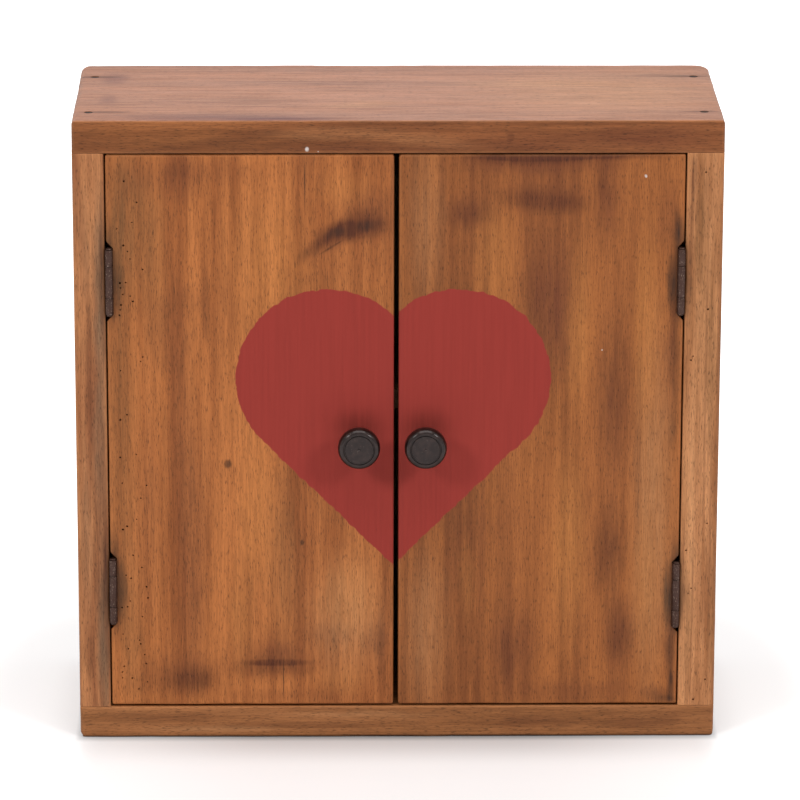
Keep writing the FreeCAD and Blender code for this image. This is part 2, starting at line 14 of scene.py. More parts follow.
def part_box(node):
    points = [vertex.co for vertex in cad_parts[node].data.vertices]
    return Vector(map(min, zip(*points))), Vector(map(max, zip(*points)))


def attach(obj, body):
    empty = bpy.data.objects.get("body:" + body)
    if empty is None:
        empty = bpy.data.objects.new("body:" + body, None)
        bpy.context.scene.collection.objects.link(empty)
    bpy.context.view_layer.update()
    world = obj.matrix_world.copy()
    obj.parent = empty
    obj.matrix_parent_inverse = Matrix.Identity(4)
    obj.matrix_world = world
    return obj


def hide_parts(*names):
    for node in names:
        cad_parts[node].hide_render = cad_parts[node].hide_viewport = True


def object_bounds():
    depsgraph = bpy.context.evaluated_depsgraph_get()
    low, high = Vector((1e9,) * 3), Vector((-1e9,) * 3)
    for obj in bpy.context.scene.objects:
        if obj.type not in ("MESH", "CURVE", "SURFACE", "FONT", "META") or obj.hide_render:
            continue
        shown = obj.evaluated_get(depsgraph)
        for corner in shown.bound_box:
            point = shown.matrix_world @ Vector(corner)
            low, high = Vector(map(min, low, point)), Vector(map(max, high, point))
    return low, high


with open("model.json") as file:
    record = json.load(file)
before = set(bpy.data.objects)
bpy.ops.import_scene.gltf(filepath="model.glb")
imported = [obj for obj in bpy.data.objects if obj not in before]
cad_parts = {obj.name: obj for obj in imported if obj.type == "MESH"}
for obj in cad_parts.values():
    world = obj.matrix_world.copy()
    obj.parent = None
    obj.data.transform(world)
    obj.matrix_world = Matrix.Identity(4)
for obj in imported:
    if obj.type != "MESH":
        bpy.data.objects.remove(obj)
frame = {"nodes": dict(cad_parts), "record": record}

bl_info = {
    "name": "Medicine cabinet",
    "version": (1, 0, 0),
    "blender": (4, 5, 0),
    "location": "3D View > Sidebar > Cabinet",
    "description": "Dresses the packed model of a wooden medicine cabinet and sets a plain stage for it",
    "category": "Object",
}

MM = 0.001
X, Y, Z = AXES = 0, 1, 2
CAD_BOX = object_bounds()
NODES = frame["nodes"]
BODY = {node: body for body, members in frame["record"]["behaviour"]["bodies"].items() for node in members}
SLOT = {part["node"]: part["material_slot"] for part in frame["record"]["subparts"]}
HANDS = ("left", "right")
LEVELS = ("upper", "lower")
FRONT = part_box("left_side")[0][Y] / MM
DOOR_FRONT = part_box("left_door")[0][Y] / MM
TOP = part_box("top_board")[1][Z] / MM


def linear(code):
    """Linear red, green and blue of an sRGB hex colour."""
    levels = [int(code[start:start + 2], 16) / 255 for start in (1, 3, 5)]
    return tuple(level / 12.92 if level <= 0.04045 else ((level + 0.055) / 1.055) ** 2.4 for level in levels)


def colour(name, description, code):
    """A colour that a user may change."""
    return FloatVectorProperty(name=name, description=description, subtype="COLOR", size=3, min=0.0, max=1.0,
                               default=linear(code))


def amount(name, description, default, **settings):
    """A number that a user may change."""
    return FloatProperty(name=name, description=description, default=default, **settings)


def angle(name, description, degrees):
    """An angle that a user may change."""
    return amount(name, description, math.radians(degrees), subtype="ANGLE")


def length(name, description, millimetres):
    """A length that a user may change."""
    return amount(name, description, millimetres * MM, subtype="DISTANCE", unit="LENGTH", precision=4)


TONES = {  # dark and light streaks of each kind of board
    "left_door": ("#834823", "#B8703C"),
    "right_door": ("#703E1F", "#A46232"),
    "top_board": ("#6C3D20", "#925832"),
    "bottom_board": ("#86542F", "#A76D42"),
    "left_side": ("#8E5736", "#C08152"),
    "right_side": ("#9A623B", "#CF9060"),
    "inside": ("#8D6040", "#B58A62"),
    "back_panel": ("#A07A50", "#C4A274"),
}
SHADES = ("dark", "light")


class CabinetWood(bpy.types.PropertyGroup):
    """Tones of the boards and how worn they are."""
    filler: colour("Filler", "Dark filler over the nails", "#2A1B14")
    wear: amount("Edge wear", "How unevenly the edges are rounded: 0 is machined, 1 much used", 0.55,
                 subtype="FACTOR", min=0.0, max=1.0)
    holes: IntProperty(name="Worm holes", description="Number of old worm holes in the left door", min=0, max=200,
                       default=52)


for part, codes in TONES.items():
    for shade, code in zip(SHADES, codes):
        words = part.replace("_", " ")
        CabinetWood.__annotations__[f"{part}_{shade}"] = colour(
            f"{words.capitalize()}, {shade}", f"{shade.capitalize()} streaks of the {words}", code)


class CabinetSign(bpy.types.PropertyGroup):
    """The heart painted across both doors."""
    paint: colour("Paint", "Matt red paint", "#93342C")
    width: length("Width", "Width of the heart", 171.0)
    middle: length("Middle", "Sideways place of the heart's middle", -2.5)
    tip: length("Tip", "Height of the heart's lower tip above the cabinet's underside", 100.0)


class CabinetMetal(bpy.types.PropertyGroup):
    """Tones of the metal and of the catches."""
    knob: colour("Knobs", "Bronzed brass of the knobs", "#1E1311")
    iron: colour("Hinges", "Blackened iron of the hinges", "#3C2821")
    rust: colour("Rust", "Thin rust on the hinges", "#3E261C")
    zinc: colour("Screws", "Zinc plate of the screws and pins", "#9A9994")
    steel: colour("Plates", "Rolled steel of the strike and pole plates", "#A09F9B")
    ferrite: colour("Magnets", "Fired ferrite of the magnets", "#2C2C2E")
    housing: colour("Catches", "Moulded brown ABS of the catches", "#4A2F20")


class CabinetStage(bpy.types.PropertyGroup):
    """Camera, light and floor."""
    eye: FloatVectorProperty(name="Camera", description="Where the camera stands", subtype="TRANSLATION", unit="LENGTH",
                             size=3, default=(-0.041656, -2.791177, 0.996722))
    pitch: angle("Pitch", "How far the camera looks down", 16.4135)
    yaw: angle("Yaw", "How far the camera turns to its right", 0.9004)
    roll: angle("Roll", "How far the camera leans", 0.145)
    lens: amount("Lens", "Focal length on a 36 mm wide sensor, in millimetres", 235.36, min=1.0,
                 subtype="DISTANCE_CAMERA", unit="CAMERA")
    side_power: amount("Side lights", "Power of each side softbox, in watts", 18.0, min=0.0, subtype="POWER")
    top_power: amount("Top light", "Power of the softbox overhead, in watts", 32.0, min=0.0, subtype="POWER")
    ambient: amount("Ambient", "Strength of the even light from all round", 0.34, min=0.0)
    paper: colour("Floor", "White seamless paper", "#D2D0D0")
    lift: amount("Floor lift", "Glow that takes the paper up to white where it is seen", 0.45, min=0.0)


# Forms

FACES = {"left": (X, 0), "right": (X, 1), "front": (Y, 0), "back": (Y, 1), "bottom": (Z, 0), "top": (Z, 1)}
EDGES = [(a, b) for a in FACES for b in FACES if FACES[a][0] < FACES[b][0]]
EASE_STEPS = (0.0, 0.12, 0.28, 0.46, 0.66, 0.86, 1.1, 1.5, 2.1)  # grid lines near an edge, in edge radii
CORNER_STEPS = (0.35, 0.5, 0.65, 0.8, 1.0)  # the same for a corner rounded in plan, in corner radii
CELL = 7.0  # grid spacing away from the edges, in millimetres
WORN_RUN, WORN_NICK, CHIP = 31.0, 6.5, 4.1  # millimetres over which the wear of an edge changes
SHARP = math.radians(40)  # edges sharper than this are broken
WELD = 0.002  # points of a CAD mesh nearer than this, in millimetres, are one


def corners_of(node):
    """Low and high corner of a CAD node's box in millimetres."""
    return [Vector(corner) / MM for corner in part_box(node)]


def grid_lines(low, high, ease, corner):
    """Places along one axis: close together near both rounded ends, a cell apart between."""
    near = [ease * step for step in EASE_STEPS]
    near += [corner * step for step in CORNER_STEPS if corner * step > near[-1] + 0.2]
    start, end = low + near[-1], high - near[-1]
    count = max(1, round((end - start) / CELL))
    between = [start + (end - start) * step / count for step in range(1, count)]
    return [low + reach for reach in near] + between + [high - reach for reach in reversed(near)]


def grid_box(lines):
    """A closed box of quads on three sets of grid lines."""
    mesh = bmesh.new()
    spots = {}
    for axis in AXES:
        across, along = (axis + 1) % 3, (axis + 2) % 3
        last = [len(places) - 1 for places in lines]
        for end, a, b in product((0, last[axis]), range(last[across]), range(last[along])):
            ring = []
            for step_a, step_b in ((0, 0), (1, 0), (1, 1), (0, 1)):
                index = [0, 0, 0]
                index[axis], index[across], index[along] = end, a + step_a, b + step_b
                key = tuple(index)
                if key not in spots:
                    spots[key] = mesh.verts.new([lines[n][index[n]] for n in AXES])
                ring.append(spots[key])
            mesh.faces.new(ring if end else ring[::-1])
    return mesh


def round_corner(spot, low, high, faces, radius):
    """Move a point of a plank so that the upright corner between two of its faces is rounded in plan."""
    ends = [FACES[face] for face in faces.split()]
    gaps = [high[axis] - spot[axis] if end else spot[axis] - low[axis] for axis, end in ends]
    reach = [max(0.0, radius - gap) for gap in gaps]
    if min(reach) > 0:
        for (axis, end), part in zip(ends, reach):
            spot[axis] += (-1 if end else 1) * part * (1 - max(reach) / math.hypot(*reach))


def board(node, eases, corners, wear, plain=0.5):
    """A plank the size of its CAD node, in millimetres, each edge rounded by its own radius and unevenly worn.

    eases gives a radius in millimetres for the edge between two faces, and other edges get the plain radius. corners
    does so for the upright corners that are rounded in plan.
    """
    low, high = corners_of(node)
    radii = {edge: eases.get(" ".join(edge), plain) for edge in EDGES}
    lines = []
    for axis in AXES:
        widest = max(radius for edge, radius in radii.items() if axis in (FACES[edge[0]][0], FACES[edge[1]][0]))
        room = (high[axis] - low[axis]) / (2 * EASE_STEPS[-1]) * 0.95
        corner = 0.0 if axis == Z else max(corners.values(), default=0.0)
        lines.append(grid_lines(low[axis], high[axis], min(widest, room), corner))
    shape = grid_box(lines)
    for vertex in shape.verts:
        spot = vertex.co.copy()
        total = weight = 0.0
        for edge, radius in radii.items():
            gaps = [abs(spot[axis] - (high if end else low)[axis]) for axis, end in (FACES[face] for face in edge)]
            pull = 1 / (math.hypot(*gaps) + 0.3) ** 4
            total += pull * radius
            weight += pull
        rub = 0.6 * noise.noise(spot / WORN_RUN) + 0.5 * noise.noise(spot / WORN_NICK)
        chip = max(0.0, noise.noise(spot / CHIP + Vector((5, 9, 2))) - 0.35)
        radius = total / weight * max(0.35, 1 + wear * (rub + 1.6 * chip))
        core = Vector([min(max(spot[n], low[n] + radius), high[n] - radius) for n in AXES])
        reach = spot - core
        vertex.co = core + reach.normalized() * radius
        for faces, radius in corners.items():
            round_corner(vertex.co, low, high, faces, radius)
    return shape


def prism(shape, corners, reach):
    """Add a closed prism to a shape: a polygon of corners pushed along a vector."""
    near = [shape.verts.new(corner) for corner in corners]
    far = [shape.verts.new(Vector(corner) + Vector(reach)) for corner in corners]
    sides = [(near[n - 1], near[n], far[n], far[n - 1]) for n in range(len(corners))]
    faces = [shape.faces.new(ring) for ring in [near, far[::-1]] + sides]
    bmesh.ops.recalc_face_normals(shape, faces=faces)


def ring_of(centre, radius, count, normal, phase=0.0):
    """Corners of a regular polygon about a point, square to an axis."""
    across, along = (normal + 1) % 3, (normal + 2) % 3
    corners = []
    for step in range(count):
        angle = math.tau * (step + phase) / count
        corner = list(centre)
        corner[across] += radius * math.cos(angle)
        corner[along] += radius * math.sin(angle)
        corners.append(corner)
    return corners


def to_mesh(name, shape):
    """A Blender mesh in metres from a shape in millimetres, which is used up."""
    bmesh.ops.scale(shape, vec=(MM, MM, MM), verts=shape.verts)
    mesh = bpy.data.meshes.new(name)
    shape.to_mesh(mesh)
    shape.free()
    return mesh


def from_mesh(mesh):
    """A shape in millimetres from a Blender mesh in metres."""
    shape = bmesh.new()
    shape.from_mesh(mesh)
    bmesh.ops.scale(shape, vec=(1 / MM, 1 / MM, 1 / MM), verts=shape.verts)
    return shape


def placed(name, data):
    """A new object in the scene."""
    item = bpy.data.objects.new(name, data)
    bpy.context.scene.collection.objects.link(item)
    return item


def cut(shape, cutters):
    """The shape less its cutters, both in millimetres and both used up."""
    piece, tool = placed("uncut", to_mesh("uncut", shape)), placed("cutters", to_mesh("cutters", cutters))
    difference = piece.modifiers.new("cut", "BOOLEAN")
    difference.operation = "DIFFERENCE"
    difference.solver = "EXACT"
    difference.object = tool
    carved = bpy.data.meshes.new_from_object(piece.evaluated_get(bpy.context.evaluated_depsgraph_get()))
    result = from_mesh(carved)
    for mesh in (piece.data, tool.data, carved):
        bpy.data.meshes.remove(mesh)
    return result


def show(name, shape, material, *nodes, crease=40.0):
    """Put a finished shape in the scene as the piece that stands for CAD nodes and rides on their body."""
    mesh = to_mesh(name, shape)
    mesh.materials.append(material)
    mesh.shade_smooth()
    mesh.set_sharp_from_angle(angle=math.radians(crease))
    piece = placed(name, mesh)
    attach(piece, BODY[nodes[0]])
    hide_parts(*nodes)
    return piece


def mark_worn_edges(piece, node, width):
    """Give each point of a board a value from 0 to 1 for how near it is to an edge of its CAD box."""
    low, high = map(Vector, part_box(node))
    worn = piece.data.attributes.new("worn", "FLOAT", "POINT")
    for point, value in zip(piece.data.vertices, worn.data):
        gaps = sorted(min(point.co[n] - low[n], high[n] - point.co[n]) for n in AXES)
        value.value = max(0.0, 1 - gaps[1] / (width * MM))


def softened(node, material, bevel=0.2):
    """Stand a copy of a CAD node in its place, its edges broken as filing or tumbling leaves them."""
    shape = from_mesh(NODES[node].data)
    bmesh.ops.remove_doubles(shape, verts=shape.verts, dist=WELD)
    bmesh.ops.dissolve_limit(shape, angle_limit=math.radians(1), verts=shape.verts, edges=shape.edges)
    sharp = [edge for edge in shape.edges if len(edge.link_faces) == 2 and edge.calc_face_angle() > SHARP]
    bmesh.ops.bevel(shape, geom=sharp, offset=bevel, segments=2, profile=0.5, affect="EDGES", clamp_overlap=True)
    return show(node + "_piece", shape, material, node)


def arc(start, through, end, steps):
    """Points on the circle through three points, from after the first to the last by the shorter way round."""
    a, b, c = (complex(*point) for point in (start, through, end))
    ratio = (c - a) / (b - a)
    middle = a + (b - a) * (ratio - abs(ratio) ** 2) / (2j * ratio.imag)
    sweep = cmath.phase((c - middle) / (a - middle))
    points = [middle + (a - middle) * cmath.rect(1, sweep * step / steps) for step in range(1, steps + 1)]
    return [(point.real, point.imag) for point in points]


def lathe(shape, profile, place, count):
    """Add a closed turned form of (radius, height) points to a shape, placed by a function of (x, y, height)."""
    rings = []
    for radius, height in profile:
        if radius == 0:
            rings.append([shape.verts.new(place(0, 0, height))] * count)
        else:
            turns = [math.tau * step / count for step in range(count)]
            rings.append([shape.verts.new(place(radius * math.cos(turn), radius * math.sin(turn), height))
                          for turn in turns])
    for lower, upper in zip(rings, rings[1:]):
        for n in range(count):
            corners = dict.fromkeys((lower[n - 1], lower[n], upper[n], upper[n - 1]))
            shape.faces.new(list(corners))
    bmesh.ops.recalc_face_normals(shape, faces=shape.faces)


# Materials

# Settings that several shader nodes share
SMOOTH = dict(interpolation_type="SMOOTHSTEP")
COLOUR = dict(output=2, data_type="RGBA")
TIMES, TIMES_PLUS = dict(operation="MULTIPLY"), dict(operation="MULTIPLY_ADD")
LESS, LARGER = dict(operation="SUBTRACT"), dict(operation="MAXIMUM")
UNSIGNED = dict(operation="ABSOLUTE")
SCALED = dict(operation="SCALE")
LENGTH = dict(output="Value", operation="LENGTH")


def add_node(tree, kind, inputs=(), output=0, **settings):
    """Add one shader node with its settings, give each input a link or a value, and return one of its outputs."""
    node = tree.nodes.new("ShaderNode" + kind)
    for setting, value in settings.items():
        setattr(node, setting, value)
    for key, value in inputs.items() if isinstance(inputs, dict) else enumerate(inputs):
        if isinstance(value, bpy.types.NodeSocket):
            tree.links.new(value, node.inputs[key])
        else:
            node.inputs[key].default_value = value
    return node.outputs[output] if node.outputs else None


def made(name, recipe, *values, **more):
    """A new material. Its recipe gets the place on the object in millimetres and gives the shader's inputs."""
    material = bpy.data.materials.new(name)
    material.use_nodes = True
    material.node_tree.nodes.clear()
    add = partial(add_node, material.node_tree)
    place = add("VectorMath", {0: add("TexCoord", output="Object"), "Scale": 1 / MM}, **SCALED)
    add("OutputMaterial", {"Surface": add("BsdfPrincipled", recipe(add, place, *values, **more))})
    return material


def spots(add, place, size, detail=2.0, distortion=0.0, seed=0.0):
    """Noise from 0 to 1 whose spots are about this size in millimetres along X, Y and Z."""
    scaled = add("VectorMath", [place, [1 / step for step in size], [seed, 0.37 * seed, 0.71 * seed]], **TIMES_PLUS)
    return add("TexNoise", {"Vector": scaled, "Scale": 1.0, "Detail": detail, "Distortion": distortion})


def streaky(add, place, grain, across, reach, detail=2.0, distortion=0.0, seed=0.0):
    """Noise in streaks along the grain, about this wide and long in millimetres."""
    size = [across] * 3
    size[grain] = reach
    return spots(add, place, size, detail, distortion, seed)


def wavering(add, place, size, detail, reach):
    """Places shifted by a noise with waves of this size in millimetres, so that outlines waver."""
    waves = add("TexNoise", {"Vector": place, "Scale": 1 / size, "Detail": detail}, output="Color")
    return add("VectorMath", [add("VectorMath", [waves, (0.5, 0.5, 0.5)], **LESS), reach, place], **TIMES_PLUS)


def opaque(tone):
    """A linear or hex colour with an alpha of 1."""
    return (*(linear(tone) if isinstance(tone, str) else tone), 1.0)


def tinted(add, tone, pattern, start, full, strength, tint):
    """A tone that takes a tint where a pattern rises from start to full."""
    share = add("MapRange", [pattern, start, full, 0.0, strength], **SMOOTH)
    under = tone if isinstance(tone, bpy.types.NodeSocket) else opaque(tone)
    return add("Mix", {0: share, 6: under, 7: opaque(tint)}, **COLOUR)


def mottled(add, tone, pattern, low, high):
    """A tone that is darker and lighter with a noise, between two factors."""
    level = add("MapRange", [pattern, 0.3, 0.7, low, high], **SMOOTH)
    return add("VectorMath", {0: tone, "Scale": level}, **SCALED)


# Stains on the wood: colour of each kind
WARM = "#6E3C22"
STAIN = "#502714"
MAROON = "#5E3434"
GRIME = "#2C1A10"
WEATHERED = "#7C6149"
OLIVE = "#7A5230"
PALE = "#C28F62"
HONEY = "#C47F43"
HANDLED = "#551A12"
DRY = "#CF9C86"
FLECK = "#CFC4BE"

# Where they are, in millimetres: x, then height on a front or depth on the top, half width, half height, strength, and
# for those that lean their angle in degrees
LEFT_DOOR_STAINS = {
    WARM: [
        (-16, 297, 22, 20, 0.6, 10), (-36, 284, 24, 9, 0.5, 28), (-118, 318, 16, 18, 0.6), (-140, 318, 14, 16, 0.45),
        (-96, 322, 26, 9, 0.25), (-118, 190, 9, 90, 0.35), (-112, 105, 11, 95, 0.6), (-136, 130, 9, 80, 0.35),
        (-66, 52, 12, 16, 0.4), (-36, 60, 20, 10, 0.45), (-12, 58, 10, 14, 0.5), (-68, 46, 34, 14, 0.5),
        (-118, 40, 26, 12, 0.4), (-48, 211, 13, 12, 0.5), (-92, 246, 6, 30, 0.2), (-60, 24, 50, 5, 0.25),
        (-28, 150, 9, 60, 0.2), (-84, 70, 12, 30, 0.25),
    ],
    STAIN: [
        (-19, 292, 17, 10, 0.95, 6), (-33, 287.5, 14, 8, 0.85, 22), (-46, 279, 14, 4, 0.6, 36),
        (-112, 33, 18, 12, 0.75), (-133, 33, 16, 11, 0.3), (-71.5, 40, 30, 8, 0.5), (-66, 43.5, 24, 2.4, 0.5),
        (-45, 213, 9, 8, 0.3), (-9.5, 50, 4, 34, 0.4), (-104, 250, 2.5, 26, 0.4), (-149, 300, 6, 34, 0.4),
        (-120, 322, 8, 8, 0.25),
    ],
    GRIME: [
        (-92.5, 158, 2.4, 3.0, 0.75), (-17, 292.5, 10, 4.5, 0.55, 8), (-33, 288, 8, 3.2, 0.55, 15),
        (-52.3, 113, 1.2, 2, 0.6), (-50.2, 314, 0.35, 18, 0.85), (-62.7, 33, 0.35, 14, 0.8),
        (-36, 280, 9, 0.7, 0.45, 32), (-41, 227, 0.7, 8, 0.4, -6), (-38.5, 219.5, 3.4, 0.7, 0.4, 15),
    ],
    OLIVE: [
        (-146, 295, 18, 50, 0.5), (-150, 190, 10, 150, 0.45), (-132, 270, 12, 60, 0.3), (-146, 60, 10, 60, 0.35),
        (-62.5, 105, 12, 64, 0.4),
    ],
    HONEY: [
        (-1.8, 160, 3, 150, 0.2), (-70, 270, 30, 50, 0.3), (-78, 130, 14, 60, 0.3), (-26, 82, 20, 30, 0.35),
        (-86, 70, 9, 40, 0.3), (-30, 34, 18, 12, 0.25), (-30, 312, 18, 14, 0.2),
    ],
    PALE: [(-28, 70, 26, 44, 0.32)],
}
RIGHT_DOOR_STAINS = {
    WARM: [
        (76, 326, 56, 8, 0.75), (76, 310, 40, 14, 0.4), (38, 300, 18, 12, 0.5), (81, 245, 23, 50, 0.8),
        (113, 308, 10, 34, 0.45), (64, 52, 18, 34, 0.65), (118, 190, 17, 90, 0.5), (60, 150, 10, 80, 0.3),
        (122, 56, 14, 34, 0.55), (148, 205, 7, 50, 0.35), (146, 296, 8, 24, 0.45), (46, 130, 4, 70, 0.3),
        (100, 26, 50, 9, 0.4), (150, 60, 5, 50, 0.5), (87, 230, 6, 40, 0.2), (30, 110, 5, 60, 0.15),
        (84, 290, 80, 50, 0.22),
    ],
    STAIN: [
        (74, 329, 44, 5, 0.95), (116, 331, 36, 4, 0.8), (75, 306, 28, 9, 0.6, -5), (92, 303.5, 12, 7, 0.35, -4),
        (39.5, 298, 17, 9, 0.5), (60, 45, 4, 24, 0.4), (115.5, 108, 14, 36, 0.6), (121, 62, 11, 24, 0.5),
        (117, 197, 13, 48, 0.4), (143, 24, 12, 7, 0.5), (111, 316, 5, 20, 0.25), (72, 255, 4, 24, 0.25),
        (74, 330, 42, 2.8, 0.6), (100, 333, 62, 1.8, 0.6), (149, 230, 3, 40, 0.4),
    ],
    GRIME: [
        (151, 28, 2.4, 12, 0.5), (150, 291, 3.5, 14, 0.55), (149, 22, 8, 3, 0.5), (151, 215, 2.2, 40, 0.3),
        (151, 48, 3, 26, 0.5), (150, 176, 3, 14, 0.4),
    ],
    PALE: [(15, 292, 13, 60, 0.18), (16, 60, 15, 60, 0.25), (139, 130, 14, 130, 0.32)],
    HONEY: [
        (93, 110, 13, 70, 0.45), (98, 235, 9, 60, 0.35), (134, 235, 9, 70, 0.35), (136, 90, 8, 50, 0.25),
        (52, 275, 14, 40, 0.3), (38, 90, 6, 30, 0.2),
    ],
    FLECK: [(132.9, 319.2, 0.8, 1.1, 0.9, 25), (110.6, 222.2, 0.5, 0.5, 0.8)],
}
LEFT_SIDE_STAINS = {
    WEATHERED: [
        (-161, 60, 5, 70, 0.8), (-160.5, 250, 5, 80, 0.75), (-162, 160, 5, 60, 0.5), (-170, 120, 4, 60, 0.3),
        (-168, 280, 4, 40, 0.25),
    ],
    STAIN: [
        (-170, 50, 5, 18, 0.35), (-161, 120, 4, 110, 0.35), (-165, 100, 2, 50, 0.4), (-167, 210, 2, 60, 0.35),
        (-172, 300, 3, 30, 0.3), (-159, 262, 2.5, 60, 0.5), (-159, 86, 2.5, 60, 0.5),
    ],
}
RIGHT_SIDE_STAINS = {
    STAIN: [
        (158, 290, 1.2, 40, 0.45), (167, 200, 0.8, 120, 0.3), (171, 120, 0.8, 90, 0.3), (162, 80, 0.7, 60, 0.35),
        (174, 180, 1.5, 150, 0.35), (159, 320, 2, 14, 0.4),
    ],
    OLIVE: [
        (163, 290, 4, 50, 0.45), (166, 250, 12, 110, 0.3), (170, 210, 3, 80, 0.35), (160, 60, 3, 60, 0.35),
        (173, 60, 3, 50, 0.3),
    ],
    PALE: [(160, 130, 4, 80, 0.2)],
}
TOP_FRONT_STAINS = {
    WARM: [(-130, 341, 60, 7, 0.2, 5), (75, 338, 70, 8, 0.5), (140, 340, 40, 10, 0.6)],
    STAIN: [
        (-88, 340, 36, 4.5, 0.55, 11), (-122, 334.5, 30, 3, 0.35, 7), (-165, 342, 12, 7, 0.1),
        (-20, 334, 50, 2.5, 0.35), (60, 341, 2.5, 3, 0.4), (120, 342, 40, 5, 0.35), (60, 335, 60, 3, 0.3),
    ],
    PALE: [(-40, 343, 40, 5, 0.15), (10, 340, 40, 6, 0.12, -8)],
    HONEY: [(-125, 341, 85, 14, 0.13)],
    FLECK: [(-49, 334.3, 1.2, 1.5, 0.9), (-43, 333, 0.4, 0.4, 0.8)],
}
TOP_STAINS = {
    DRY: [(0, 0, 500, 200, 0.4)],
    MAROON: [(-155, 33, 10, 18, 0.5), (-157, -18, 7, 16, 0.4), (-101, -62, 76, 13, 0.6), (-60, -64, 40, 7, 0.4)],
    STAIN: [
        (-78, -20, 30, 16, 0.22), (150, 40, 26, 5, 0.4), (-165, 37.5, 16, 2.6, 0.8), (-158, -47, 18, 2.4, 0.7),
        (160, 38, 18, 2.4, 0.7), (163, -47, 12, 2.2, 0.6), (-40, 20, 30, 5, 0.2), (60, -20, 60, 6, 0.12),
    ],
    PALE: [(-20, -30, 30, 10, 0.25, 12), (80, 20, 70, 12, 0.15), (115, 0, 90, 70, 0.3)],
}
BOTTOM_FRONT_STAINS = {
    STAIN: [
        (-130, 12, 40, 3, 0.3), (75, 9, 42, 4, 0.35), (130, 8, 24, 4, 0.4), (-60, 7, 60, 2.5, 0.25),
        (150, 10, 12, 6, 0.3),
    ],
    PALE: [(-20, 13, 50, 3, 0.2), (-100, 5, 40, 2.5, 0.2)],
    GRIME: [(0, 0, 400, 1.7, 0.85)],
}
RIGHT_SIDE_HOLES = [(165.1, 321.4), (167.6, 245.1), (160.0, 218.7), (158.9, 216.5), (169.4, 123.6), (158.2, 108.1),
                    (161.3, 86.2), (159.7, 83.3), (170.0, 33.2), (163.6, 21.5)]
FRONT_DEPTH, TOP_DEPTH = 9, 7  # how far stains reach round the edges of a face, in millimetres
SMALL = 3  # stains narrower than this keep a sharp, straight edge


def hinge_grime(hand):
    """Dark iron grime on the wood round one hand's two hinges."""
    stains = []
    for level in LEVELS:
        low, high = corners_of(f"{hand}_{level}_hinge_frame_leaf")
        middle = (low + high) / 2
        doorward = 5.5 if hand == "left" else -5.5
        stains += [(middle.x, middle.z, 7.5, 28, 0.85), (middle.x, middle.z + 24, 4.5, 16, 0.55),
                   (middle.x + doorward, middle.z, 3.2, 25, 0.55)]
    return stains


def stained(add, place, tone, stains, grain, normal, level):
    """Lay stains of several colours, streaked along the grain, over a tone.

    They lie on the face square to the normal axis at this level in millimetres. Small ones have a sharper edge.
    """
    wavy = wavering(add, place, 14, 3.0, (4, 4, 0) if normal == Z else (4, 0, 4))
    patchy = add("MapRange", [streaky(add, place, grain, 1.8, 26.0, 3.0), 0.3, 0.7, 0.72, 1.14], **SMOOTH)
    for code, group in stains.items():
        total = None
        for across, up, half_width, half_height, strength, *lean in group:
            small = min(half_width, half_height) < SMALL
            tilt = math.radians(sum(lean))
            centre, half, turn = [across, level, up], [half_width, FRONT_DEPTH, half_height], [0, -tilt, 0]
            if normal == Z:
                centre, half, turn = [across, up, level], [half_width, half_height, TOP_DEPTH], [0, 0, tilt]
            local = add("Mapping", [place if small else wavy, centre, turn, half], vector_type="TEXTURE")
            away = add("VectorMath", [local], **LENGTH)
            mark = add("MapRange", [away, 1.15, 0.45 if small else 0.1, 0.0, strength], **SMOOTH)
            total = mark if total is None else add("Math", [total, mark], use_clamp=True)
        if code != FLECK:
            total = add("Math", [total, patchy], use_clamp=True, **TIMES)
        if normal == Z:
            upward = add("SeparateXYZ", [add("TexCoord", output="Normal")], output="Z")
            total = add("Math", [total, add("MapRange", [upward, 0.4, 0.9], **SMOOTH)], **TIMES)
        tone = add("Mix", {0: total, 6: tone, 7: opaque(code)}, **COLOUR)
    return tone


